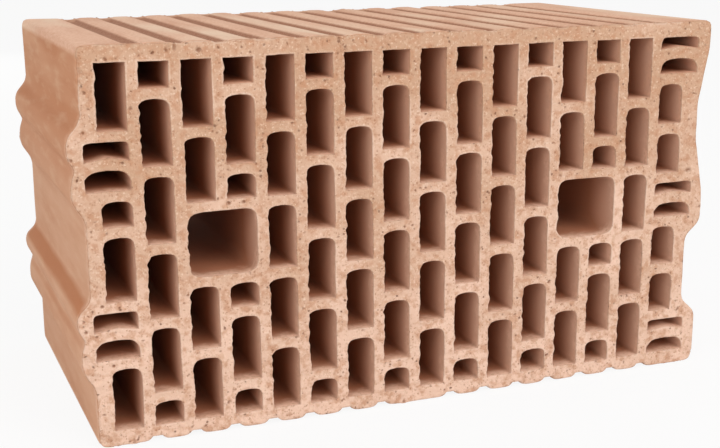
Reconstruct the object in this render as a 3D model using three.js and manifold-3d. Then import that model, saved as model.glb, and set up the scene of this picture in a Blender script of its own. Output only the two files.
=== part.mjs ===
// Hollow clay block for a single-leaf wall: perforated through, with interlocking ends and
// grooved faces that key the plaster. It is extruded and fired as one piece.
//
// Millimetres, +Z up. The block lies on one of its grooved faces. X runs along the wall, from
// the end with two tongues (-X) to the end with three (+X). The perforations run along Y, from
// one bed face to the other, and Z is the thickness of the wall. The origin is the middle of
// the underside.

import * as THREE from 'three';
import { mergeVertices } from 'three/addons/utils/BufferGeometryUtils.js';
import Module from 'manifold-3d';

const wasm = await Module();
wasm.setup();

// ---- The whole block ----
const blockLength = 450; // X, over the tongues of both ends
const wallThickness = 250; // Z, over the two grooved faces
const courseHeight = 238; // Y, over the two bed faces
const blockCorner = 3; // radius where an end meets a grooved face

// ---- Cells: the perforations, in columns that stand side by side along the block ----
const keyedShell = 10.8; // clay outside the cells at each grooved face
const endShell = 10.2; // clay outside the cells at each end, behind its recesses
const cellWidth = 18.6;
const cellWeb = 6.7; // clay between one cell and the next down a column
const shortCell = 15.5; // height of a short cell
const leftFlatCell = 11.4; // height of the flat cells at the -X end
const rightFlatCell = 8; // height of the upper of two flat cells at the +X end
const rightFlatTwin = 9; // height of the lower of the two
const rightCellWeb = 7.6; // clay between one cell and the next down the last column
const cellCorner = 2; // bevel of a cell's upper corners, which are square at the upper shell
const cellCrown = 0.7; // rise of a cell's upper wall at its middle, but flat at the upper shell
const flatBow = 2; // rise of the lower wall of the upper of two flat cells, at its middle
const flatTwinCrown = 1; // rise of the upper wall of the lower of the two
const flatTwinCorner = 4; // bevel of the upper corners of the lower of the two

// ---- Hand grips: two large cells, each two columns wide ----
const gripHeight = 40.4;
const gripCorner = 6;

// Each column from its top cell down.
//   T  tall cell: the tall cells of a column share what its other cells leave
//   S  short cell
//   F  flat cell that runs out into a tongue, over its twin f
//   G  hand grip, which takes in the next column too
//   g  the place that the grip of the column before fills
const columns = [
  'TFfSTFfT',
  'STTTTS',
  'TTGTT',
  'STSgSTS',
  'TTTTT',
  'STTTTS',
  'TTTTT',
  'STTTTS',
  'TTTTT',
  'STTTTS',
  'TTTTT',
  'STTTTS',
  'TTGTT',
  'STSgSTS',
  'TTTTT',
  'FfTTFfTTFf',
];

// ---- Grooves that key the plaster: one over each web between two columns ----
const grooveMouth = 10.5;
const grooveFloor = 5.5;
const grooveDepth = 2.8;
const grooveOffset = 2; // how far a groove lies to the +X side of its web's middle
const undersideGather = 0.4; // how much closer together the underside's grooves are than its webs
const plainWebs = [7]; // webs of the underside that have no groove, counted from 0 at -X

// ---- The end at -X: two tongues, each with a crease along it between a first and a second crest ----
const leftTongue = 9; // how far a tongue stands out of the straight faces
const leftRecess = 45; // straight face from the upper grooved face to the first tongue
const upperRise = 9; // height over which the upper tongue rises
const lowerRise = 7; // height over which the lower tongue rises
const leftFall = 11; // height over which a tongue falls away below its second crest
const leftGap = 51; // straight face between the two tongues
const upperCrests = [12, 13]; // heights of the upper tongue's two crests
const lowerCrests = [10, 13]; // heights of the lower tongue's two crests
const secondCrestDrop = 1.5; // how far a second crest lies behind the first
const creaseDepth = 4;
const creaseFall = 6; // height over which the first crest falls to the crease
const creaseFloor = 3;
const creaseRise = 5; // height over which the crease rises to the second crest

// ---- The end at +X: three tongues round two recesses ----
const rightTongue = 12; // how far a tongue stands out of the lower recess
const upperHollow = 7.5; // depth of the upper recess
const upperTongue = 19; // crest of the upper tongue, from the grooved face down
const upperRecess = 26;
const middleTongue = 23; // crest of the middle tongue
const lowerRecess = 47;
const gentleFlank = 38; // height of the flanks on both sides of the upper recess
const steepFlank = 10; // height of the flanks on both sides of the lower recess
const tongueEase = 4; // rounding of the tongues' and recesses' edges

const cutOverrun = 1; // how far a cell's cutter runs past each bed face
const cornerSteps = 2; // facets of a rounded corner of the block or a hand grip
const mostOfHalf = 0.45; // the most of a side that the rounding at one of its ends takes

// ---- Places worked out from the sizes above ----
const left = -blockLength / 2;
const right = blockLength / 2;
const cellsLeft = left + leftTongue + endShell;
const cellsRight = right - rightTongue - endShell;
const cellsTop = wallThickness - keyedShell;
const columnWeb = (cellsRight - cellsLeft - columns.length * cellWidth) / (columns.length - 1);

/** Left side of a column's cells. */
const columnX = (column) => cellsLeft + column * (cellWidth + columnWeb);

/** A corner of an outline, with the radius that rounds it. */
const corner = (x, z, radius = 0) => ({ point: new THREE.Vector2(x, z), radius });

/**
 * Points of a closed outline with its corners rounded. Each corner becomes a short curve that
 * leaves its two sides at one radius from the corner, or nearer on a side that is too short.
 * A single step makes it a bevel.
 */
function roundedOutline(corners, steps = cornerSteps) {
  return corners.flatMap(({ point, radius }, i) => {
    if (radius === 0) return [point];
    const before = corners.at(i - 1).point;
    const after = corners[(i + 1) % corners.length].point;
    const start = towards(point, before, radius);
    const end = towards(point, after, radius);
    return new THREE.QuadraticBezierCurve(start, point, end).getPoints(steps);
  });
}

/** The point at a distance from one point towards another, always short of halfway there. */
function towards(from, to, distance) {
  const share = Math.min(distance / from.distanceTo(to), mostOfHalf);
  return from.clone().lerp(to, share);
}

/**
 * Outline of a cell with its upper corners bevelled. Its upper and lower walls rise at the middle
 * by crown and bow.
 */
function cell(x0, x1, bottom, top, { radius, crown = 0, bow = 0 }) {
  const middle = (x0 + x1) / 2;
  const corners = [corner(x0, bottom)];
  if (bow > 0) corners.push(corner(middle, bottom + bow));
  corners.push(corner(x1, bottom), corner(x1, top - crown, radius));
  if (crown > 0) corners.push(corner(middle, top));
  corners.push(corner(x0, top - crown, radius));
  return roundedOutline(corners, 1);
}

/** Outline of a hand grip, rounded at all four corners. */
function grip(x0, x1, bottom, top) {
  const places = [[x0, bottom], [x1, bottom], [x1, top], [x0, top]];
  return roundedOutline(places.map(([x, z]) => corner(x, z, gripCorner)));
}

/** Outlines of one column's cells, set from the top down with equal webs between them. */
function columnCells(kinds, column) {
  const first = column === 0;
  const last = column === columns.length - 1;
  const web = last ? rightCellWeb : cellWeb;
  const fixed = {
    S: shortCell,
    F: last ? rightFlatCell : leftFlatCell,
    f: last ? rightFlatTwin : leftFlatCell,
    G: gripHeight,
    g: gripHeight,
  };
  const letters = [...kinds];
  const field = cellsTop - keyedShell - (letters.length - 1) * web;
  const taken = letters.reduce((sum, kind) => sum + (fixed[kind] ?? 0), 0);
  const tallCell = (field - taken) / letters.filter((kind) => kind === 'T').length;
  const x0 = columnX(column);
  const x1 = x0 + cellWidth;
  const flatX0 = first ? x0 - leftTongue : x0;
  const flatX1 = last ? x1 + rightTongue : x1;
  const flatTwinRoof = { radius: flatTwinCorner, crown: flatTwinCrown };
  const shapes = {
    T: (bottom, top, roof) => cell(x0, x1, bottom, top, roof),
    S: (bottom, top, roof) => cell(x0, x1, bottom, top, roof),
    F: (bottom, top) => cell(flatX0, flatX1, bottom, top, { radius: cellCorner / 2, bow: flatBow }),
    f: (bottom, top) => cell(flatX0, flatX1, bottom, top + flatTwinCrown, flatTwinRoof),
    G: (bottom, top) => grip(x0, columnX(column + 1) + cellWidth, bottom, top),
  };
  const outlines = [];
  let top = cellsTop;
  for (const kind of letters) {
    const bottom = top - (fixed[kind] ?? tallCell);
    const roof = top === cellsTop ? { radius: 0 } : { radius: cellCorner, crown: cellCrown };
    if (kind !== 'g') outlines.push(shapes[kind](bottom, top, roof));
    top = bottom - web;
  }
  return outlines;
}

/**
 * Corners of the grooves of one grooved face, at height z, cut inwards (+1 up, -1 down). There is
 * one at each web that isn't skipped, and they can gather towards the middle of the block.
 */
function grooveCorners(z, inwards, { skipped = [], gather = 0 } = {}) {
  const webs = columns.slice(1).map((_, web) => web).filter((web) => !skipped.includes(web));
  const middleWeb = (columns.length - 2) / 2;
  return webs.flatMap((web) => {
    const x = columnX(web + 1) - columnWeb / 2 + grooveOffset + (middleWeb - web) * gather;
    const floor = z + inwards * grooveDepth;
    return [
      corner(x - grooveMouth / 2, z),
      corner(x - grooveFloor / 2, floor),
      corner(x + grooveFloor / 2, floor),
      corner(x + grooveMouth / 2, z),
    ];
  });
}

/**
 * Corners down an end, from the upper grooved face to the lower one. Each stretch is
 * [how far it stands out, its straight height, the height of the flank below it]. The last
 * stretch runs on to the underside.
 */
function endCorners(recessX, outwards, stretches) {
  const corners = [];
  let z = wallThickness;
  stretches.forEach(([proud, straight, flank], i) => {
    const x = recessX + outwards * proud;
    const last = i === stretches.length - 1;
    corners.push(corner(x, z, i === 0 ? blockCorner : tongueEase));
    z = last ? 0 : z - straight;
    corners.push(corner(x, z, last ? blockCorner : tongueEase));
    z -= flank;
  });
  return corners;
}

/** Stretches of one tongue of the end at -X: its first crest, its crease and its second crest. */
const creasedTongue = ([firstCrest, secondCrest]) => [
  [leftTongue, firstCrest, creaseFall],
  [leftTongue - creaseDepth, creaseFloor, creaseRise],
  [leftTongue - secondCrestDrop, secondCrest, leftFall],
];

/** Outline of the block, seen along the perforations with +X to the right. */
function blockOutline() {
  const leftEnd = endCorners(left + leftTongue, -1, [
    [0, leftRecess, upperRise],
    ...creasedTongue(upperCrests),
    [0, leftGap, lowerRise],
    ...creasedTongue(lowerCrests),
    [0, 0, 0],
  ]);
  const rightEnd = endCorners(right - rightTongue, 1, [
    [rightTongue, upperTongue, gentleFlank],
    [rightTongue - upperHollow, upperRecess, gentleFlank],
    [rightTongue, middleTongue, steepFlank],
    [0, lowerRecess, steepFlank],
    [rightTongue, 0, 0],
  ]);
  return roundedOutline([
    ...leftEnd,
    ...grooveCorners(0, 1, { skipped: plainWebs, gather: undersideGather }),
    ...rightEnd.reverse(),
    ...grooveCorners(wallThickness, -1).reverse(),
  ]);
}

/** A solid with the given outline, running along Y and centred on the block's middle. */
function extruded(outline, length) {
  const shape = new THREE.Shape(outline);
  const geometry = new THREE.ExtrudeGeometry(shape, { depth: length, bevelEnabled: false });
  geometry.translate(0, 0, -length / 2);
  geometry.rotateX(Math.PI / 2);
  geometry.deleteAttribute('normal');
  geometry.deleteAttribute('uv');
  const merged = mergeVertices(geometry);
  const vertProperties = merged.attributes.position.array;
  return new wasm.Manifold(new wasm.Mesh({ numProp: 3, vertProperties, triVerts: merged.index.array }));
}

/** A three.js geometry with a solid's flat faces. */
function geometryOf(solid) {
  const { vertProperties, triVerts } = solid.getMesh();
  const geometry = new THREE.BufferGeometry();
  geometry.setAttribute('position', new THREE.BufferAttribute(vertProperties, 3));
  geometry.setIndex(new THREE.BufferAttribute(triVerts, 1));
  const faceted = geometry.toNonIndexed();
  faceted.computeVertexNormals();
  return faceted;
}

/** The block: its outline run from bed face to bed face, with every cell cut right through. */
function clayBlock() {
  const cutLength = courseHeight + 2 * cutOverrun;
  const cells = columns.flatMap(columnCells).map((outline) => extruded(outline, cutLength));
  const solid = extruded(blockOutline(), courseHeight).subtract(wasm.Manifold.union(cells));
  const firedClay = new THREE.MeshStandardMaterial({ color: '#c99a78', roughness: 0.92, metalness: 0 });
  const mesh = new THREE.Mesh(geometryOf(solid), firedClay);
  mesh.name = 'clay_block';
  return mesh;
}

const block = new THREE.Group();
block.add(clayBlock());

export default block;
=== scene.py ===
# %% [markdown]
# # A hollow clay block for a wall
# Clay is pushed through a die as one long column, with a core in the die for every hole. A wire
# cuts the column into blocks, and they are dried and fired. So the block has two kinds of surface:
# a smooth skin that slid through the die, and two rough bed faces where the wire tore through.
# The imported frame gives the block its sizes. Here it gets the surfaces that this making leaves.

# %% The frame and its box
import math
import random

import bmesh
import bpy
from mathutils import Matrix, Vector, noise


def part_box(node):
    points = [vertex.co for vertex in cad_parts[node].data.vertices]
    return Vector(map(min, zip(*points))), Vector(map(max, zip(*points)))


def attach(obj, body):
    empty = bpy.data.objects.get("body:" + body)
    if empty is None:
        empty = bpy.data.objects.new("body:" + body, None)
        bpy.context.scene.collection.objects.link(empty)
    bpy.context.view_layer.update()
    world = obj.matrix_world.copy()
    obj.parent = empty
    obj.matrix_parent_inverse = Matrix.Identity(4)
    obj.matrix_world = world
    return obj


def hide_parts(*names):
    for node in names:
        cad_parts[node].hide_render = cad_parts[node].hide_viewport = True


MM = 0.001  # lengths are in metres, and are written here as millimetres

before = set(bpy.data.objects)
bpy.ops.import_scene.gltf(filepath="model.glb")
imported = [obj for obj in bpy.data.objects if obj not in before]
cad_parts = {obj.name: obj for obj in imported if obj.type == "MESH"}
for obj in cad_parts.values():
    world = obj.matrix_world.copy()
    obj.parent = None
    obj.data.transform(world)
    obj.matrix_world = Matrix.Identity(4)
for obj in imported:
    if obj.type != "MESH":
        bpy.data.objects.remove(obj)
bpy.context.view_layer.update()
low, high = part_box("clay_block")
size = high - low
print(f"block {size.x / MM:.0f} x {size.y / MM:.0f} x {size.z / MM:.0f} mm")

# %% [markdown]
# ## One bed face
# Every edge that matters lies on a bed face: the outline of the block, and those of its holes.
# They could be drawn again, but the frame has them at their right size. So a copy of it is merged,
# and only the bed face at -Y is kept.

# %% Keep one bed face of a merged copy
SAME_POINT = 0.01 * MM  # points that are closer than this are one
POINTS_TO_FRONT = -0.9  # a face of that bed face has a normal whose Y is below this

clay = bmesh.new()
clay.from_mesh(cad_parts["clay_block"].data)
bmesh.ops.remove_doubles(clay, verts=clay.verts, dist=SAME_POINT)
clay.normal_update()
elsewhere = [face for face in clay.faces if face.normal.y > POINTS_TO_FRONT]
bmesh.ops.delete(clay, geom=elsewhere, context="FACES")
print(f"{len(clay.faces)} faces in the bed face")

# %% [markdown]
# ## Marks on the outlines
# The block's own outline has the smooth skin behind it, and the other outlines have the walls of
# the holes. A walk along the edges, from the corner nearest to one end, finds the first kind. The
# marks are vertex layers, because the operators copy those to the vertices that they make.

# %% Mark the skin
skin = clay.verts.layers.float.new("skin")
torn = clay.verts.layers.float.new("torn")
to_visit = [min(clay.verts, key=lambda vert: vert.co.x)]
while to_visit:
    vert = to_visit.pop()
    vert[skin] = 1
    around = [edge.other_vert(vert) for edge in vert.link_edges if edge.is_boundary]
    to_visit += [other for other in around if other[skin] == 0]
print(f"{sum(vert[skin] for vert in clay.verts):.0f} corners on the skin")

# %% [markdown]
# The wire crossed the face one way, and it tore the clay where it left a hole and met a web again.
# Those are the upright edges with a web on their left. The lower edges of the holes are their
# sills. The web that an edge belongs to tells the upper edge of a hole from the lower one.

# %% Mark the torn edges and the sills
NO_SLOPE = 0.1 * MM  # an edge is upright or level if its ends differ by less than this
SLANT = 0.25  # an edge slants if it is further off than this share of its length


def is_upright(edge):
    """Whether an edge of the bed face runs straight up."""
    start, end = edge.verts
    return abs(start.co.x - end.co.x) < NO_SLOPE


sill = clay.verts.layers.float.new("sill")
for edge in clay.edges:
    start, end = edge.verts
    if edge.is_boundary and start[skin] == 0:
        web = edge.link_faces[0].calc_center_median()
        along = end.co - start.co
        if is_upright(edge) and web.x < start.co.x:
            start[torn] = end[torn] = 1
        elif abs(along.z) < SLANT * along.length and web.z < min(start.co.z, end.co.z):
            start[sill] = end[sill] = 1
print(f"{sum(vert[torn] for vert in clay.verts):.0f} corners on torn edges, ", end="")
print(f"{sum(vert[sill] for vert in clay.verts):.0f} on sills")

# %% [markdown]
# The floors of the grooves are the level edges of the outline that lie a little inside the block's
# box. They get a layer too, for their darker colour, which is partly painted shade, and for the
# clay that the wire pressed into them.

# %% Mark the floors of the grooves
SHALLOWEST_GROOVE = 1 * MM
DEEPEST_GROOVE = 5 * MM

groove = clay.verts.layers.float.new("groove")
for edge in clay.edges:
    start, end = edge.verts
    rise = abs(start.co.z - end.co.z)
    inside = min(start.co.z - low.z, high.z - start.co.z)
    if start[skin] and rise < NO_SLOPE and SHALLOWEST_GROOVE < inside < DEEPEST_GROOVE:
        start[groove] = end[groove] = 1
upper_floors = [vert for vert in clay.verts if vert[groove] and vert.co.z > size.z / 2]
groove_depth = max(high.z - vert.co.z for vert in upper_floors)
print(f"upper grooves are {groove_depth / MM:.1f} mm deep")

# %% [markdown]
# ## Points enough to be uneven
# A straight edge has no points between its ends, so it can't be uneven. The torn edges get points
# close together, and the others get fewer, which keeps the mesh light. The edges that slant are
# bevelled corners, and they get a mark. The old faces aren't needed any more, so the edges between
# them go, and only the outlines stay.

# %% Divide the outlines
TORN_STEP = 1.3 * MM
PLAIN_STEP = 3.2 * MM


def is_slanted(edge):
    """Whether an edge of the bed face is neither nearly level nor nearly upright."""
    along = edge.verts[1].co - edge.verts[0].co
    return min(abs(along.x), abs(along.z)) > SLANT * along.length


bevelled = clay.verts.layers.float.new("bevelled")
for edge in clay.edges:
    if edge.is_boundary and is_slanted(edge):
        for vert in edge.verts:
            vert[bevelled] = 1
seams = [edge for edge in clay.edges if not edge.is_boundary]
bmesh.ops.delete(clay, geom=seams, context="EDGES")
by_cuts = {}
for edge in clay.edges:
    on_torn = is_upright(edge) and all(vert[torn] == 1 for vert in edge.verts)
    step = TORN_STEP if on_torn else PLAIN_STEP
    cuts = math.ceil(edge.calc_length() / step) - 1
    by_cuts.setdefault(cuts, []).append(edge)
for cuts, edges in by_cuts.items():
    if cuts > 0:
        bmesh.ops.subdivide_edges(clay, edges=edges, cuts=cuts)
print(f"{len(clay.edges)} edges in the outlines")

# %% [markdown]
# A bevel stands for a round corner, so its ends are smoothed until it is one. The square corners
# and the floors of the grooves stay sharp, as the die left them. A new point between a sill and a
# corner has a part of the sill's mark, and it is no sill.

# %% Round the bevels
FULL = 0.99  # a mark of 1, allowing for rounding
ALMOST = 0.9
ROUNDINGS = 2

for vert in clay.verts:
    vert[sill] = float(vert[sill] > FULL)
rounded = [vert for vert in clay.verts if vert[bevelled] > 0 and vert[groove] < ALMOST]
for _ in range(ROUNDINGS):
    bmesh.ops.smooth_vert(
        clay, verts=rounded, factor=0.4, use_axis_x=True, use_axis_y=True, use_axis_z=True
    )
print(f"{len(rounded)} points rounded")

# %% [markdown]
# ## The webs between the holes
# The bed face is all that lies between the outlines. Triangle fill finds it, holes and all. Two
# insets then follow every edge: a narrow one for the lip, which can catch the light, and a wider
# one for the slope behind it. Each inset leaves its marks weaker on the inner side.

# %% Fill the bed face and inset its edges
LIP = 0.8 * MM
SLOPE = 1.3 * MM
INNER_SKIN = 0.5  # the skin layer on the inner side of the lip
INNER_SILL = 0.75  # the sill layer there
SLOPE_SILL = 0.3  # the sill layer on the inner side of the slope

rim = clay.verts.layers.float.new("rim")
bmesh.ops.triangle_fill(
    clay, use_beauty=True, use_dissolve=False, edges=clay.edges[:], normal=(0, -1, 0)
)
web_faces = clay.faces[:]
lip = bmesh.ops.inset_region(
    clay, faces=web_faces, thickness=LIP, use_boundary=True, use_even_offset=True
)
for face in lip["faces"]:
    for vert in face.verts:
        vert[rim] = 1
for vert in {vert for face in web_faces for vert in face.verts}:
    vert[skin] *= INNER_SKIN
    vert[sill] *= INNER_SILL
bmesh.ops.inset_region(
    clay, faces=web_faces, thickness=SLOPE, use_boundary=True, use_even_offset=True
)
for face in web_faces:
    for vert in face.verts:
        vert[rim] = vert[skin] = vert[groove] = 0
        vert[sill] = min(vert[sill], SLOPE_SILL)
print(f"{len(web_faces)} faces between the slopes, {len(clay.faces)} in all")

# %% [markdown]
# ## The walls behind the edges
# The walls run straight through the block, so each outline is extruded to the middle. The rings are
# close together near the bed face, where the edge is round and torn, and far apart deep inside.
# The skin gets more rings than the holes, because its unevenness shows. A mirror makes the other
# half, and welds the two in the middle.

# %% Extrude the walls and mirror them
HOLE_DEPTHS = [0.9, 4, 22]  # of the rings behind the bed face, in millimetres
SKIN_DEPTHS = [0.9, 3, 8, 18, 34, 54, 75, 97]

edges_of = {"hole": [], "skin": []}
for edge in clay.edges:
    if edge.is_boundary:
        edges_of["skin" if edge.verts[0][skin] else "hole"].append(edge)
for kind, depths in (("hole", HOLE_DEPTHS), ("skin", SKIN_DEPTHS)):
    ring, depth = edges_of[kind], 0
    for next_depth in [*depths, size.y / 2 / MM]:
        made = bmesh.ops.extrude_edge_only(clay, edges=ring)["geom"]
        verts = [item for item in made if isinstance(item, bmesh.types.BMVert)]
        bmesh.ops.translate(clay, verts=verts, vec=(0, (next_depth - depth) * MM, 0))
        ring = [item for item in made if isinstance(item, bmesh.types.BMEdge) and item.is_boundary]
        depth = next_depth
half = clay.verts[:] + clay.edges[:] + clay.faces[:]
bmesh.ops.mirror(
    clay, geom=half, matrix=Matrix.Identity(4), merge_dist=SAME_POINT, axis="Y"
)
bmesh.ops.recalc_face_normals(clay, faces=clay.faces)
open_edges = sum(not edge.is_manifold for edge in clay.edges)
print(f"{len(clay.faces)} faces, {open_edges} open edges")

# %% [markdown]
# The block gets two materials. The first is for what the wire cut, which is the bed faces and the
# first thin ring of the walls, up to this depth. The second is for all that slid through the die.

# %% Give each face its material
WIRE_CUT_TO = 0.5 * MM

for face in clay.faces:
    from_bed_face = size.y / 2 - abs(face.calc_center_median().y)
    face.material_index = 0 if from_bed_face < WIRE_CUT_TO else 1
    face.smooth = True
triangles = sum(len(face.verts) - 2 for face in clay.faces)
print(f"{triangles} triangles, volume {clay.calc_volume() * 1e6:.0f} cm3")

# %% [markdown]
# ## Pores and chips
# Fired clay is full of small hollows, where bits of sand or straw burnt out or the wire pulled them
# out. The larger ones are made as real bowls: the faces round each one are divided, and their
# points are pushed in. A chip at a corner is the same thing, wider. The finest pores are left to
# the material.

# %% Choose the hollows
PORES_ON_BOTH_FACES = 260
SMALL_PORE = 0.6 * MM
LARGE_PORE = 1.5 * MM
PORE_DEPTH = 0.9  # of its radius

chance = random.Random(11)
bed_faces = [face for face in clay.faces if face.material_index == 0 and face.verts[0][rim] == 0]
areas = [face.calc_area() for face in bed_faces]
hollows = []
for face in chance.choices(bed_faces, weights=areas, k=PORES_ON_BOTH_FACES):
    radius = SMALL_PORE + (LARGE_PORE - SMALL_PORE) * chance.random() ** 2  # most are small
    hollows.append((face.calc_center_median(), radius, -PORE_DEPTH * radius * face.normal))
print(f"{len(hollows)} pores on {sum(areas) * 1e4:.0f} cm2")

# %% [markdown]
# The chips have places of their own, because they aren't left to chance: a web between two cells
# has torn near the end with two tongues, and the edges of that end are knocked.

# %% Add the chips
TOWARDS_MIDDLE = 0.4  # how far a chip leans away from its end of the block

CHIPS = {  # X, Z, radius and depth in millimetres, on the bed face at -Y
    "torn_web": (-195.8, 92.5, 4.5, 2.6),
    "beside_torn_web": (-209, 92, 1.5, 1.3),
    "lower_tongue": (-222, 56, 6, 2.2),
    "below_lower_tongue": (-215, 46, 4.5, 2),
    "pit_in_lower_tongue": (-219.8, 77, 1.4, 1.4),
    "second_pit_in_it": (-220.7, 83.7, 1.2, 1.2),
    "upper_edge": (-216, 240, 3.2, 1.6),
    "middle_of_upper_edge": (-215.7, 233.5, 3.8, 2.2),
    "low_on_upper_edge": (-216, 227, 3.2, 1.6),
    "upper_recess": (-217, 210, 3.5, 1.4),
    "pit_in_upper_recess": (-211.9, 222, 1.2, 1.1),
    "pit_over_first_column": (-199.1, 241, 1.5, 1.3),
    "pit_by_third_column": (-170.5, 243.9, 1.3, 1.2),
    "pit_by_fourth_column": (-142.8, 244.4, 2, 1.8),
    "pit_between_columns": (-184.9, 211.9, 1.5, 1.4),
    "pit_over_left_grip": (-127.4, 149.3, 1.9, 1.6),
    "second_pit_over_it": (-117.8, 149.1, 1.7, 1.5),
    "pit_over_upper_tongue": (-214, 198.8, 1.5, 1.3),
    "pit_in_upper_tongue": (-222.3, 183, 1.5, 1.2),
    "pit_under_lower_tongue": (-204.7, 53.7, 1.5, 1.3),
    "bottom_corner": (-214, 3, 7, 2.5),
    "far_corner": (222, 2, 7, 2.2),
    "far_bottom_edge": (206, 1, 5, 1.4),
}
for x, z, radius, depth in CHIPS.values():
    centre = Vector((x * MM, low.y, z * MM))
    inwards = Vector((-TOWARDS_MIDDLE * math.copysign(1, x), 1, 0)).normalized()
    hollows.append((centre, radius * MM, depth * MM * inwards))
print(f"{len(hollows)} hollows")

# %% [markdown]
# Some faces of the bed face are long. Those that reach into a chip are divided first, or it would
# crease them or find no point to push.

# %% Divide the long faces that reach into a chip
from mathutils.geometry import closest_point_on_tri

touched = set()
for centre, radius, _ in hollows[PORES_ON_BOTH_FACES:]:
    for face in bed_faces:
        nearest = closest_point_on_tri(centre, *[vert.co for vert in face.verts[:3]])
        if (nearest - centre).length < radius:
            touched.update(face.edges)
long_edges = [edge for edge in touched if edge.calc_length() > LARGE_PORE]
bmesh.ops.subdivide_edges(clay, edges=long_edges, cuts=3, use_grid_fill=True)
print(f"{len(long_edges)} long edges divided")

# %% [markdown]
# A k-d tree finds what is near a place without a look at every point. One tree of the hollows finds
# the small faces to divide, and one of the new points finds those to push in. A pore shade layer
# keeps how deep each point lies, for painted shade: a small hollow is painted darker than the clay
# round it, as its shadow, and a wide chip less so.

# %% Divide round the hollows and dig them
from mathutils.kdtree import KDTree

# painted shade: a hollow up to this radius is painted dark all the way
FULLY_SHADED_PORE = 2 * MM  # the largest radius of a hollow that is dark all the way
NEAR_HOLLOW = 1.2  # faces are divided out to this many of its radii, and the margin
MARGIN = 1 * MM


def tree_of(places):
    """A k-d tree of the places, in their order."""
    tree = KDTree(len(places))
    for i, place in enumerate(places):
        tree.insert(place, i)
    tree.balance()
    return tree


hollow_tree = tree_of([centre for centre, _, _ in hollows])
near = set()
for face in clay.faces:
    if face.material_index == 0:
        _, nearest, distance = hollow_tree.find(face.calc_center_median())
        if distance < NEAR_HOLLOW * hollows[nearest][1] + MARGIN:
            near.update(face.edges)
bmesh.ops.subdivide_edges(clay, edges=list(near), cuts=2, use_grid_fill=True)
pore_shade = clay.verts.layers.float.new("pore_shade")
clay.verts.ensure_lookup_table()
point_tree = tree_of([vert.co.copy() for vert in clay.verts])
for centre, radius, push in hollows:
    # how much painted shade this hollow gets
    pore_shade_strength = min(1, (FULLY_SHADED_PORE / radius) ** 2)
    for _, i, distance in point_tree.find_range(centre, radius):
        share = 1 - (distance / radius) ** 2
        vert = clay.verts[i]
        vert.co += share * push
        vert[pore_shade] = max(vert[pore_shade], share * pore_shade_strength)
print(f"{len(clay.faces)} faces after {len(near)} edges were divided")

# %% [markdown]
# ## Nothing is quite straight
# Several kinds of unevenness are laid over each other, each with waves of smooth noise. A point's
# push is worked out from its old place, so that the kinds don't disturb each other. First, the
# whole lattice wanders by half a millimetre, as the clay flowed and shrank. That noise is read at a
# place without its Y, so that a wall keeps its line from one bed face to the middle.

# %% How the lattice wanders
WANDER = 0.5 * MM
WANDER_WAVES = 60 * MM  # each kind's waves are about as long as its number of millimetres
WANDER_GROWS_OVER = 20 * MM  # from the block's sides inwards


def ripple(place, length, seed):
    """Smooth noise of about -1 to 1, with waves of about the given length in metres."""
    return 1.6 * noise.noise(place / length + Vector((seed, 3.7 * seed, -seed)))


def fading(distance, reach):
    """1 at no distance, and evenly down to 0 at the reach."""
    return max(0, 1 - distance / reach)


def wander(flat):
    """The push on all that lies at this X and Z."""
    to_side = min(flat.x - low.x, high.x - flat.x, flat.z - low.z, high.z - flat.z)
    inner = min(1, to_side / WANDER_GROWS_OVER)
    drift = Vector((ripple(flat, WANDER_WAVES, 1), 0, ripple(flat, WANDER_WAVES, 2)))
    return WANDER * inner * drift


# %% [markdown]
# The skin is a little wavy along the way that it was pushed, so its noise is drawn out along Y. At
# the bed faces its edge is rounded, and knocked in places. Every push on it goes inwards, so the
# block doesn't outgrow the frame.

# %% How the skin and its edge give way
SKIN_WAVE = 0.35 * MM
SKIN_WAVES = 45 * MM
ALONG_DIE = 0.2  # share of Y that the noise of a drawn surface reads
KNOCKED = 0.5 * MM
LARGE_KNOCKS = 7 * MM
SMALL_KNOCKS = 3 * MM
EDGE_ROUND = 1.2 * MM
ROUND_SIDEWAYS = 0.35  # share of that which also goes in from the side
ROUND_REACH = 3 * MM


def skin_push(vert, place, sideways, side, from_bed_face):
    """The push on a point of the skin."""
    on_skin = min(1, vert[skin] / INNER_SKIN) * sideways
    drawn = Vector((place.x, ALONG_DIE * place.y, place.z))
    push = -SKIN_WAVE * max(0, 0.7 + 0.7 * ripple(drawn, SKIN_WAVES, 3)) * on_skin
    knock = ripple(place, LARGE_KNOCKS, 9) + 0.7 * ripple(place, SMALL_KNOCKS, 12)
    push -= KNOCKED * max(0, knock) * fading(from_bed_face, 2 * LIP) * on_skin
    turned_in = fading(from_bed_face, ROUND_REACH) ** 2
    rounding = EDGE_ROUND * turned_in * vert[skin] ** 2
    push -= rounding * (ROUND_SIDEWAYS * sideways + Vector((0, side, 0)))
    return push


# %% [markdown]
# The wire ran downwards and pressed clay into the ends of the upper grooves. So their floors rise
# towards the bed faces, some more than others, and lose their mark there.

# %% How the ends of the grooves are pressed
PRESSED_REACH = 9 * MM
PRESSED_SHARE = 0.75  # of a groove's depth, at the bed face
GROOVES_DIFFER_OVER = 40 * MM


def press_groove(vert, place, side, from_bed_face):
    """The rise of a groove's floor. It takes the mark off the clay that was pressed in."""
    uneven = 1 + 0.4 * ripple(Vector((place.x, side, 0)), GROOVES_DIFFER_OVER, 13)
    pressed = max(0, 1 - (from_bed_face / (PRESSED_REACH * uneven)) ** 2)
    vert[groove] *= 1 - pressed
    return min(1, PRESSED_SHARE * uneven) * pressed * min(high.z - place.z, groove_depth)


# %% [markdown]
# The walls of the holes are wavy too. Their edges at the bed faces are ragged, most of all where
# the wire tore them. The sill of each hole has slumped, so it is round and has no lip.

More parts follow.
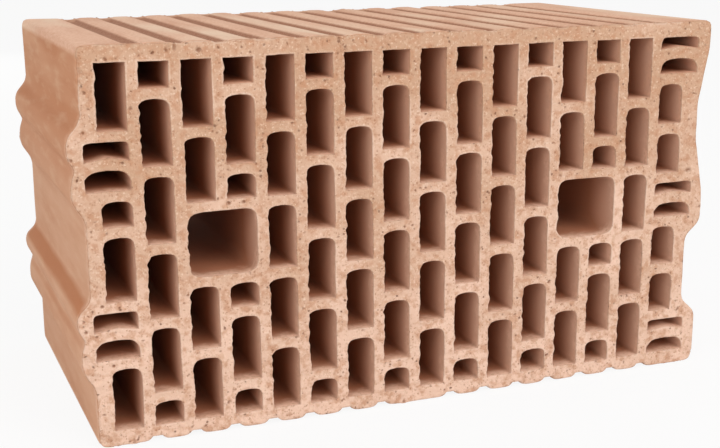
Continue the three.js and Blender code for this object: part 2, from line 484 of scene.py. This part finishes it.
# %% How the walls and the edges of the holes give way
WALL_WAVE = 0.2 * MM
WALL_WAVES = 25 * MM
TEAR = 0.55 * MM
RAGGED = 0.12 * MM
TEAR_REACH = 3 * MM
TEAR_WAVES = 4.5 * MM
FINE_TEAR_WAVES = 2.6 * MM
LEVEL_TEAR_WAVES = 5 * MM
SLUMP = 0.6 * MM
SLUMP_BACK = 0.4  # share of that which also goes back into the block
SLUMP_REACH = 4 * MM
SLUMP_WAVES = 14 * MM


def hole_push(vert, place, flat, sideways, side, from_bed_face):
    """The push on a point of a hole. It takes the lip off a slumped sill."""
    drawn = Vector((place.x, ALONG_DIE * place.y, place.z))
    push = WALL_WAVE * ripple(drawn, WALL_WAVES, 4) * sideways
    loose = RAGGED + (TEAR - RAGGED) * vert[torn]
    ragged = vert[rim] * loose * math.exp(-from_bed_face / TEAR_REACH)
    push.x += ragged * (ripple(flat, TEAR_WAVES, 5) + 0.8 * ripple(flat, FINE_TEAR_WAVES, 6))
    push.z += 0.5 * ragged * ripple(flat, LEVEL_TEAR_WAVES, 7)
    slumped = vert[sill] * fading(from_bed_face, SLUMP_REACH) ** 2
    slump = SLUMP * slumped * (1 + 0.3 * ripple(flat, SLUMP_WAVES, 11))
    push += slump * Vector((0, -SLUMP_BACK * side * slumped, -1))
    vert[rim] *= 1 - slumped
    return push


# %% [markdown]
# The bed faces are rough, with a lip along each edge that stands above the webs. A layer keeps how
# far each point of the block faces upwards before it is pushed: it picks out the upward flanks of
# the ends for a darker orange, and the floors of the holes for their painted shade. At the end each
# point is held inside the box of the frame.

# %% Push every point
LIP_BELOW_PLANE = 0.3 * MM
WEB_BELOW_PLANE = 0.6 * MM
COARSE_ROUGH = 14 * MM
FINE_ROUGH = 5 * MM

flank = clay.verts.layers.float.new("flank")
clay.normal_update()
for vert in clay.verts:
    place, on_lip = vert.co.copy(), vert[rim]
    vert[flank] = max(0, vert.normal.z)
    sideways = Vector((vert.normal.x, 0, vert.normal.z))
    side = math.copysign(1, place.y)
    flat = Vector((place.x, side, place.z))
    from_bed_face = size.y / 2 - abs(place.y)
    push = wander(flat)
    if vert[skin]:
        push += skin_push(vert, place, sideways, side, from_bed_face)
        if vert[groove] > 0 and place.z > size.z / 2:
            push.z += press_groove(vert, place, side, from_bed_face)
    else:
        push += hole_push(vert, place, flat, sideways, side, from_bed_face)
    rough = 1 + 0.5 * ripple(place, COARSE_ROUGH, 8) + 0.4 * ripple(place, FINE_ROUGH, 10)
    below = WEB_BELOW_PLANE + (LIP_BELOW_PLANE - WEB_BELOW_PLANE) * on_lip
    push.y -= side * fading(from_bed_face, 2 * LIP) * below * max(0.1, rough)
    for axis in range(3):
        vert.co[axis] = min(max(place[axis] + push[axis], low[axis]), high[axis])
print(f"volume {clay.calc_volume() * 1e6:.0f} cm3")

# %% [markdown]
# ## The finished piece
# The mesh becomes an object at the origin, with its place in its points. It rides on the frame's
# only body and replaces the plain solid there.

# %% Make the block an object
mesh = bpy.data.meshes.new("hollow_clay_block")
clay.to_mesh(mesh)
clay.free()
block = bpy.data.objects.new("hollow_clay_block", mesh)
bpy.context.scene.collection.objects.link(block)
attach(block, "root")
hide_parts("clay_block")
mesh.calc_loop_triangles()
print(f"{len(mesh.loop_triangles)} triangles")

# %% [markdown]
# ## Two finishes of one clay
# Both materials are the same fired clay: a ceramic with no glaze, which scatters light and hardly
# shines. Its IOR is that of most ceramics, and its pores make it very rough and break up half of
# the faint shine that is left. Their colours are written as sRGB hex, and Blender wants linear
# values, so one function turns them. One more adds a node with its settings and links, and a third
# turns a real length into the scale that gives a noise or a Voronoi texture features of that
# length. Each layer of colour is a Mix node over the one before, and a Map Range node says where
# it lies.

# %% Helpers for the materials
def linear(code):
    """Linear colour of an sRGB hex value."""
    parts = [int(code[i : i + 2], 16) / 255 for i in (1, 3, 5)]
    return [c / 12.92 if c <= 0.04045 else ((c + 0.055) / 1.055) ** 2.4 for c in parts] + [1]


def add(material, kind, inputs, output=0, **settings):
    """Adds a node and gives one of its outputs. An input gets a link, a hex colour or a value."""
    tree = material.node_tree
    made = tree.nodes.new("ShaderNode" + kind)
    for name, value in settings.items():
        setattr(made, name, value)
    for name, value in inputs.items():
        if isinstance(value, bpy.types.NodeSocket):
            tree.links.new(value, made.inputs[name])
        else:
            made.inputs[name].default_value = linear(value) if isinstance(value, str) else value
    return made.outputs[output]


def scale_for(millimetres):
    """Texture scale on object coordinates in metres, for features of this length."""
    return 1000 / millimetres


SHARE, FIRST, SECOND, MIXED = 0, 6, 7, 2  # where a Mix node has its colours and its result


def new_clay(name):
    """A material with a matt shader, and its object coordinates."""
    material = bpy.data.materials.new(name)
    material.use_nodes = True
    shader = material.node_tree.nodes["Principled BSDF"]
    shader.inputs["Roughness"].default_value = 0.92
    shader.inputs["IOR"].default_value = 1.5
    shader.inputs["Specular IOR Level"].default_value = 0.25
    place = add(material, "TexCoord", {}, "Object")
    return material, shader, place


# %% [markdown]
# ## Where the wire cut
# Wire-cut clay shows what it is made of: sand, some grains paler than the clay and some darker, and
# small pits where grains and straw have gone, which are painted dark as painted shade. Each cell of
# a Voronoi texture is one grain, and the cell's random colour gives its tone. Most real sand is
# finer, but grains of a millimetre and a half are what the eye can find at this size. Voronoi cells
# are round in their middles, so noise stirs the place where they are read, and grit frays their
# edges.

# %% Textures of the wire-cut clay
SWIRL = 2.4 * MM  # how far noise pulls the grains out of their round shape
FRAY = 0.8  # weight of the grit in the edges of the grains

wire_cut, shader, place = new_clay("wire_cut_fired_clay")
patch = add(wire_cut, "TexNoise", {"Vector": place, "Scale": scale_for(45), "Detail": 3}, "Fac")
mottle = add(wire_cut, "TexNoise", {"Vector": place, "Scale": scale_for(5), "Detail": 5}, "Fac")
grit = add(wire_cut, "TexNoise", {"Vector": place, "Scale": scale_for(1.8), "Detail": 3}, "Fac")
swirl = add(wire_cut, "TexNoise", {"Vector": place, "Scale": scale_for(1.4), "Detail": 2}, "Color")
stirred = add(
    wire_cut, "VectorMath", {0: swirl, 1: [SWIRL] * 3, 2: place}, operation="MULTIPLY_ADD"
)
grains = add(wire_cut, "TexVoronoi", {"Vector": stirred, "Scale": scale_for(1.5)}, "Distance")
tone = add(wire_cut, "SeparateColor", {"Color": grains.node.outputs["Color"]}, "Red")
frayed = add(wire_cut, "Math", {0: grit, 1: FRAY, 2: grains}, operation="MULTIPLY_ADD")
core = add(wire_cut, "MapRange", {"Value": frayed, "From Min": 1, "From Max": 0.6})

# %% [markdown]
# The lower side of the bed face is painted paler and pinker, as painted light from low down, and
# its upper side darker. Slow patches lie over that. Then come duller spots, the pale grains and the
# dark ones.

# %% Colour of the wire-cut clay
DIMMER_UPWARDS = -2.6  # for each metre, where the patches differ by about 1

up_block = add(wire_cut, "SeparateXYZ", {"Vector": place}, "Z")
# painted light: the bed face is paler low down, with the slow patches over it
low_light_and_patches = add(wire_cut, "Math", {0: up_block, 1: DIMMER_UPWARDS, 2: patch}, operation="MULTIPLY_ADD")
lit_low_share = add(wire_cut, "MapRange", {"Value": low_light_and_patches, "From Min": -0.1, "From Max": 0.45})
colour = add(
    wire_cut, "Mix", {SHARE: lit_low_share, FIRST: "#bd977c", SECOND: "#ddbaa5"}, MIXED, data_type="RGBA"
)
dull = add(
    wire_cut, "MapRange", {"Value": mottle, "From Min": 0.46, "From Max": 0.66, "To Max": 0.7}
)
colour = add(
    wire_cut, "Mix", {SHARE: dull, FIRST: colour, SECOND: "#b58465"}, MIXED, data_type="RGBA"
)
pale = add(wire_cut, "MapRange", {"Value": tone, "From Min": 0.5, "From Max": 1, "To Max": 0.6})
pale = add(wire_cut, "Math", {0: pale, 1: core}, operation="MULTIPLY")
colour = add(
    wire_cut, "Mix", {SHARE: pale, FIRST: colour, SECOND: "#dfc5af"}, MIXED, data_type="RGBA"
)
dark = add(wire_cut, "MapRange", {"Value": tone, "From Min": 0.35, "From Max": 0, "To Max": 0.75})
dark = add(wire_cut, "Math", {0: dark, 1: core}, operation="MULTIPLY")
colour = add(
    wire_cut, "Mix", {SHARE: dark, FIRST: colour, SECOND: "#9c6d50"}, MIXED, data_type="RGBA"
)

# %% [markdown]
# A small pit is painted dark in the middle of a larger Voronoi cell, as painted shade, and only
# some cells have one. The pore shade layer paints shade into the hollows that are real bowls.

# %% Painted shade in pits and pores
FRAYED_PIT = 0.35  # weight of the grit in the edges of the pits
FRAYED_PORE = 1.2
PIT_SHADE = 0.75

pit_cells = add(wire_cut, "TexVoronoi", {"Vector": place, "Scale": scale_for(4.5)}, "Distance")
chosen = add(wire_cut, "SeparateColor", {"Color": pit_cells.node.outputs["Color"]}, "Green")
has_pit = add(wire_cut, "MapRange", {"Value": chosen, "From Min": 0.72, "From Max": 0.74})
pit_edge = add(
    wire_cut, "Math", {0: grit, 1: FRAYED_PIT, 2: pit_cells}, operation="MULTIPLY_ADD"
)
bowl = add(wire_cut, "MapRange", {"Value": pit_edge, "From Min": 0.4, "From Max": 0.24})
pit = add(wire_cut, "Math", {0: bowl, 1: has_pit}, operation="MULTIPLY")
# painted shade in the small pits
shaded = add(wire_cut, "Math", {0: pit, 1: PIT_SHADE}, operation="MULTIPLY")
colour = add(
    wire_cut, "Mix", {SHARE: shaded, FIRST: colour, SECOND: "#7d523a"}, MIXED, data_type="RGBA"
)
# painted shade in the hollows that are real bowls
pore_shade_layer = add(wire_cut, "Attribute", {}, "Fac", attribute_name="pore_shade")
pore_shade_edge = add(
    wire_cut, "Math", {0: grit, 1: FRAYED_PORE, 2: pore_shade_layer}, operation="MULTIPLY_ADD"
)
pore_shade_share = add(
    wire_cut, "MapRange", {"Value": pore_shade_edge, "From Min": 0.8, "From Max": 1.55, "To Max": 0.8}
)
colour = add(
    wire_cut,
    "Mix",
    {SHARE: pore_shade_share, FIRST: colour, SECOND: "#7d523a"},
    MIXED,
    data_type="RGBA",
)

# %% [markdown]
# The lip along an edge is paler in places, where fine clay was smeared over it: the rim layer says
# where the lip is. The block's own edge is browner in spots, where the burnt skin was torn open,
# and that brown is partly painted shade in the torn gaps.

# %% Smeared edges, and browned edges with painted shade
rim_layer = add(wire_cut, "Attribute", {}, "Fac", attribute_name="rim")
smear = add(wire_cut, "Math", {0: rim_layer, 1: patch}, operation="MULTIPLY")
smeared = add(
    wire_cut, "MapRange", {"Value": smear, "From Min": 0.4, "From Max": 0.65, "To Max": 0.4}
)
colour = add(
    wire_cut, "Mix", {SHARE: smeared, FIRST: colour, SECOND: "#dfc4b0"}, MIXED, data_type="RGBA"
)
skin_layer = add(wire_cut, "Attribute", {}, "Fac", attribute_name="skin")
# brown spots on the block's edge, partly painted shade in torn gaps
arris = add(wire_cut, "Math", {0: skin_layer, 1: mottle}, operation="MULTIPLY")
browned_and_shaded = add(
    wire_cut, "MapRange", {"Value": arris, "From Min": 0.25, "From Max": 0.5, "To Max": 0.85}
)
colour = add(
    wire_cut, "Mix", {SHARE: browned_and_shaded, FIRST: colour, SECOND: "#b67d5a"}, MIXED, data_type="RGBA"
)
wire_cut.node_tree.links.new(colour, shader.inputs["Base Color"])

# %% [markdown]
# The relief is a rough grit with the same pits as dips in it.

# %% Relief of the wire-cut clay
GRIT_HEIGHT = 0.6 * MM

height = add(wire_cut, "Math", {0: grit, 1: pit}, operation="SUBTRACT")
relief = add(wire_cut, "Bump", {"Height": height, "Distance": GRIT_HEIGHT})
wire_cut.node_tree.links.new(relief, shader.inputs["Normal"])
block.data.materials.append(wire_cut)
print("wire-cut clay:", len(wire_cut.node_tree.nodes), "nodes")

# %% [markdown]
# ## Where the clay slid through the die
# The die pressed this skin smooth and drew it out along Y, so its marks are soft bands in that
# direction, with pale freckles of dust. The ends burnt to a warm orange brown, and low down they
# are painted paler, as painted light from below.

# %% Colour of the ends
drawn, shader, place = new_clay("drawn_fired_clay")
along = add(drawn, "Mapping", {"Vector": place, "Scale": (1, ALONG_DIE, 1)})
patch = add(
    drawn,
    "TexNoise",
    {"Vector": along, "Scale": scale_for(40), "Detail": 4, "Distortion": 0.4},
    "Fac",
)
bands = add(drawn, "TexNoise", {"Vector": along, "Scale": scale_for(18), "Detail": 3}, "Fac")
up_block = add(drawn, "SeparateXYZ", {"Vector": place}, "Z")

patchy = add(drawn, "MapRange", {"Value": patch, "From Min": 0.4, "From Max": 0.62})
outside = add(
    drawn, "Mix", {SHARE: patchy, FIRST: "#c58761", SECOND: "#d39d7a"}, MIXED, data_type="RGBA"
)
# painted light: the ends are paler low down
painted_low_light = add(
    drawn, "MapRange", {"Value": up_block, "From Min": 0.21, "From Max": 0.14, "To Max": 0.7}
)
outside = add(
    drawn, "Mix", {SHARE: painted_low_light, FIRST: outside, SECOND: "#dcae90"}, MIXED, data_type="RGBA"
)
banded = add(drawn, "MapRange", {"Value": bands, "From Min": 0.45, "From Max": 0.7, "To Max": 0.35})
outside = add(
    drawn, "Mix", {SHARE: banded, FIRST: outside, SECOND: "#c07f59"}, MIXED, data_type="RGBA"
)
freckles = add(drawn, "TexNoise", {"Vector": along, "Scale": scale_for(6), "Detail": 5}, "Fac")
freckled = add(
    drawn, "MapRange", {"Value": freckles, "From Min": 0.5, "From Max": 0.7, "To Max": 0.4}
)
outside = add(
    drawn, "Mix", {SHARE: freckled, FIRST: outside, SECOND: "#dcb393"}, MIXED, data_type="RGBA"
)

# %% [markdown]
# The flanks of the tongues that face upwards are a darker orange, and the lower ones more than the
# upper ones. The flank layer finds them.

# %% Darker flanks
LESS_DARK_UPWARDS = -0.6  # for each metre

flank_layer = add(drawn, "Attribute", {}, "Fac", attribute_name="flank")
darker_flank = add(drawn, "Math", {0: flank_layer, 1: patch}, operation="MULTIPLY")
darker_flank = add(
    drawn, "Math", {0: up_block, 1: LESS_DARK_UPWARDS, 2: darker_flank}, operation="MULTIPLY_ADD"
)
on_flank = add(
    drawn, "MapRange", {"Value": darker_flank, "From Min": 0.1, "From Max": 0.3, "To Max": 0.75}
)
outside = add(
    drawn, "Mix", {SHARE: on_flank, FIRST: outside, SECOND: "#b8744a"}, MIXED, data_type="RGBA"
)

# %% [markdown]
# The walls of the holes are the same clay. Near the bed faces they are as pale as the skin, and
# deeper inside they are painted brown: painted shade, for the light that falls off inside the
# holes. The block's Y is 0 in its middle, so the distance from there says how deep a place is. The
# skin layer tells the outside from the walls. The floors of the holes take this painted shade from
# nearer the bed face.

# %% Colour of the walls, with painted shade deep inside
HALF_HEIGHT = size.y / 2
PALE_TO = 4 * MM
FULL_SHADE_FROM = 34 * MM
FLOOR_SHADED_SOONER_BY = 18 * MM

along_block = add(drawn, "SeparateXYZ", {"Vector": place}, "Y")
from_middle = add(drawn, "Math", {0: along_block}, operation="ABSOLUTE")
skin_layer = add(drawn, "Attribute", {}, "Fac", attribute_name="skin")
on_sill = add(drawn, "Math", {0: flank_layer, 1: skin_layer}, operation="SUBTRACT", use_clamp=True)
# painted shade: the floors count as deeper, so they darken sooner
shade_depth = add(
    drawn, "Math", {0: on_sill, 1: -FLOOR_SHADED_SOONER_BY, 2: from_middle}, operation="MULTIPLY_ADD"
)
# painted shade, darker deeper into each hole
painted_depth_shade = add(
    drawn,
    "MapRange",
    {"Value": shade_depth, "From Min": HALF_HEIGHT - PALE_TO, "From Max": HALF_HEIGHT - FULL_SHADE_FROM},
)
wall = add(
    drawn, "Mix", {SHARE: painted_depth_shade, FIRST: "#d0a58d", SECOND: "#b17859"}, MIXED, data_type="RGBA"
)
colour = add(
    drawn, "Mix", {SHARE: skin_layer, FIRST: wall, SECOND: outside}, MIXED, data_type="RGBA"
)

# %% [markdown]
# The ribs of the grooved faces lay open in the kiln and stayed pink, with cream patches where lime
# came out of the clay. The grooves are painted a darker brown, which is partly their own colour and
# partly painted shade. The distance up or down from the middle finds the grooved faces, and the
# groove layer finds the grooves.

# %% Where the grooved faces and their grooves are
HALF_THICKNESS = size.z / 2
FACE_STARTS_AT = 7 * MM
FACE_IS_FULL_AT = 4 * MM

from_centre = add(drawn, "Math", {0: up_block, 1: HALF_THICKNESS}, operation="SUBTRACT")
outwards = add(drawn, "Math", {0: from_centre}, operation="ABSOLUTE")
on_face = add(
    drawn,
    "MapRange",
    {
        "Value": outwards,
        "From Min": HALF_THICKNESS - FACE_STARTS_AT,
        "From Max": HALF_THICKNESS - FACE_IS_FULL_AT,
    },
)
on_face = add(drawn, "Math", {0: on_face, 1: skin_layer}, operation="MULTIPLY")
groove_layer = add(drawn, "Attribute", {}, "Fac", attribute_name="groove")
in_groove = add(drawn, "MapRange", {"Value": groove_layer, "From Min": 0.05, "From Max": 0.5})

# %% [markdown]
# Fine dust lies on both. The ribs slid through the die as the ends did, so they have the same
# bands, and the lime follows the slow patches.

# %% Colour of the ribs and the grooves
dust = add(drawn, "TexNoise", {"Vector": place, "Scale": scale_for(2), "Detail": 3}, "Fac")
dusty = add(drawn, "MapRange", {"Value": dust, "From Min": 0.4, "From Max": 0.7})
# the grooves' brown is partly painted shade
groove_colour_and_shade = add(
    drawn, "Mix", {SHARE: dusty, FIRST: "#a87458", SECOND: "#ba896d"}, MIXED, data_type="RGBA"
)
rib_colour = add(
    drawn, "Mix", {SHARE: dusty, FIRST: "#e4b294", SECOND: "#f2c8ab"}, MIXED, data_type="RGBA"
)
rib_colour = add(
    drawn, "Mix", {SHARE: banded, FIRST: rib_colour, SECOND: "#c48768"}, MIXED, data_type="RGBA"
)
limy = add(drawn, "MapRange", {"Value": patch, "From Min": 0.48, "From Max": 0.66, "To Max": 0.6})
rib_colour = add(
    drawn, "Mix", {SHARE: limy, FIRST: rib_colour, SECOND: "#f6dcc0"}, MIXED, data_type="RGBA"
)
face_colour = add(
    drawn,
    "Mix",
    {SHARE: in_groove, FIRST: rib_colour, SECOND: groove_colour_and_shade},
    MIXED,
    data_type="RGBA",
)
colour = add(
    drawn, "Mix", {SHARE: on_face, FIRST: colour, SECOND: face_colour}, MIXED, data_type="RGBA"
)

# %% [markdown]
# The wire pulled crumbs over every edge of the bed faces, so the smooth clay doesn't start on a
# line. They lie widest on the sills of the holes, where their pale band is partly painted light on
# the floors near the openings. Noise moves the line to and fro.

# %% Where the crumbs lie
CRUMBS_REACH = 8 * MM
CRUMBS_FADE_OVER = 11 * MM
CRUMBS_WANDER = 24 * MM
MORE_CRUMBS_AND_LIGHT_ON_SILLS = 5 * MM
NOISE_MIDDLE = 0.5

crumbs = add(drawn, "TexNoise", {"Vector": place, "Scale": scale_for(9), "Detail": 6}, "Fac")
crumbs = add(drawn, "Math", {0: crumbs, 1: NOISE_MIDDLE}, operation="SUBTRACT")
crumb_line = add(
    drawn, "Math", {0: crumbs, 1: CRUMBS_WANDER, 2: from_middle}, operation="MULTIPLY_ADD"
)
# the wider pale band on the sills is partly painted light on the floors
crumb_line = add(
    drawn, "Math", {0: on_sill, 1: MORE_CRUMBS_AND_LIGHT_ON_SILLS, 2: crumb_line}, operation="MULTIPLY_ADD"
)
crumbed = add(
    drawn,
    "MapRange",
    {
        "Value": crumb_line,
        "From Min": HALF_HEIGHT - CRUMBS_REACH,
        "From Max": HALF_HEIGHT - CRUMBS_REACH + CRUMBS_FADE_OVER,
    },
)

# %% [markdown]
# The crumbs are bits of the bed face, so they have its dark grains, and low down they are painted
# paler with the same painted light as the ends.

# %% Colour of the crumbs
grains = add(drawn, "TexVoronoi", {"Vector": place, "Scale": scale_for(1.8)}, "Color")
tone = add(drawn, "SeparateColor", {"Color": grains}, "Red")
# painted light: the crumbs are paler low down too
crumb_colour = add(
    drawn, "Mix", {SHARE: painted_low_light, FIRST: "#d9a98c", SECOND: "#e6c0a8"}, MIXED, data_type="RGBA"
)
dark = add(drawn, "MapRange", {"Value": tone, "From Min": 0.5, "From Max": 0, "To Max": 0.35})
crumb_colour = add(
    drawn, "Mix", {SHARE: dark, FIRST: crumb_colour, SECOND: "#a5775a"}, MIXED, data_type="RGBA"
)
colour = add(
    drawn, "Mix", {SHARE: crumbed, FIRST: colour, SECOND: crumb_colour}, MIXED, data_type="RGBA"
)
drawn.node_tree.links.new(colour, shader.inputs["Base Color"])

# %% [markdown]
# The relief of the drawn clay is shallow: fine streaks along the way that it slid, and the dust.

# %% Relief of the drawn clay
STREAK_SHARE = 0.8
STREAK_HEIGHT = 0.18 * MM

streaks = add(drawn, "TexNoise", {"Vector": along, "Scale": scale_for(5), "Detail": 2}, "Fac")
height = add(drawn, "Math", {0: streaks, 1: STREAK_SHARE, 2: dust}, operation="MULTIPLY_ADD")
relief = add(drawn, "Bump", {"Height": height, "Distance": STREAK_HEIGHT})
drawn.node_tree.links.new(relief, shader.inputs["Normal"])
block.data.materials.append(drawn)
print("drawn clay:", len(drawn.node_tree.nodes), "nodes")

# %% [markdown]
# ## A pale studio
# The floor is one large disc, so wide that its edge is lost in the distance.

# %% The floor
FLOOR_RADIUS = 9  # metres

sheet = bmesh.new()
bmesh.ops.create_circle(sheet, cap_ends=True, segments=96, radius=FLOOR_RADIUS)
floor_mesh = bpy.data.meshes.new("studio_floor")
sheet.to_mesh(floor_mesh)
sheet.free()
floor = bpy.data.objects.new("studio_floor", floor_mesh)
bpy.context.scene.collection.objects.link(floor)
print(f"floor {2 * FLOOR_RADIUS} m across")

# %% [markdown]
# The floor is covered with matt paper. Seen by the camera, it mixes its own light with a plain
# white, so it fades into the white world, and the block's shadow still lies on it.

# %% The paper on it
PLAIN_WHITE = 0.9  # its share in what the camera sees of the floor

paper = bpy.data.materials.new("studio_paper")
paper.use_nodes = True
shader = paper.node_tree.nodes["Principled BSDF"]
shader.inputs["Base Color"].default_value = linear("#e6e3df")
shader.inputs["Roughness"].default_value = 0.9
white = add(paper, "Emission", {"Color": (1, 1, 1, 1), "Strength": 1.0})
ray = add(paper, "LightPath", {}, "Is Camera Ray")
share = add(paper, "Math", {0: ray, 1: PLAIN_WHITE}, operation="MULTIPLY")
seen = add(paper, "MixShader", {0: share, 1: shader.outputs[0], 2: white})
paper.node_tree.links.new(seen, paper.node_tree.nodes["Material Output"].inputs[0])
floor.data.materials.append(paper)

# %% [markdown]
# The world gives an even light from all round, which is dimmer than the white that the camera sees.

# %% The world
WORLD_LIGHT = 0.55

world = bpy.data.worlds.new("white_studio")
bpy.context.scene.world = world
world.use_nodes = True
sky = world.node_tree.nodes["Background"]
sky.inputs["Color"].default_value = (1, 1, 1, 1)
ray = add(world, "LightPath", {}, "Is Camera Ray")
strength = add(world, "MapRange", {"Value": ray, "To Min": WORLD_LIGHT, "To Max": 1})
world.node_tree.links.new(strength, sky.inputs["Strength"])

# %% [markdown]
# The key lamp is large and stands in front, high and to the right. The left lamp lights the end and
# the walls of the holes, the low lamp lifts the lower half of the bed face, and the back lamp keeps
# the bed face behind from going dull.

# %% The lamps
def lamp(name, place, width, watts):
    """A square lamp that faces the middle of the block."""
    light = bpy.data.lights.new(name, "AREA")
    light.size = width
    light.energy = watts
    obj = bpy.data.objects.new(name, light)
    obj.location = place
    to_block = Vector((0, 0, size.z / 2)) - obj.location
    obj.rotation_euler = to_block.to_track_quat("-Z", "Y").to_euler()
    bpy.context.scene.collection.objects.link(obj)


lamp("key_lamp", (0.9, -1.9, 1.5), width=1.6, watts=26)
lamp("left_lamp", (-1.6, -1.4, 0.9), width=1.3, watts=15)
lamp("low_lamp", (0.2, -2.1, 0.3), width=1.2, watts=9)
lamp("back_lamp", (-0.3, 2.3, 0.9), width=1.4, watts=8)

# %% [markdown]
# ## The camera
# It stands in front of the bed face, to the left, and looks a little down. Depth of field is off,
# because every cell should be sharp.

# %% Place the camera
LENS = 63.6  # millimetres, on a sensor 36 mm wide
SHIFT_UP = 0.05
STANDS_AT = (-0.334, -0.8647, 0.3152)
LINE_OF_SIGHT = Vector((0.35407, 0.89998, -0.2543))
ROLL = math.radians(-0.415)

camera_data = bpy.data.cameras.new("camera")
camera_data.sensor_width = 36
camera_data.lens = LENS
camera_data.shift_y = SHIFT_UP
camera_data.dof.use_dof = False
camera = bpy.data.objects.new("camera", camera_data)
camera.location = STANDS_AT
camera.rotation_euler = LINE_OF_SIGHT.to_track_quat("-Z", "Y").to_euler()
camera.rotation_euler.rotate_axis("Z", ROLL)
bpy.context.scene.collection.objects.link(camera)
bpy.context.scene.camera = camera
bpy.context.scene.view_settings.view_transform = "Standard"
print(f"camera {camera.location.length:.2f} m from the origin")
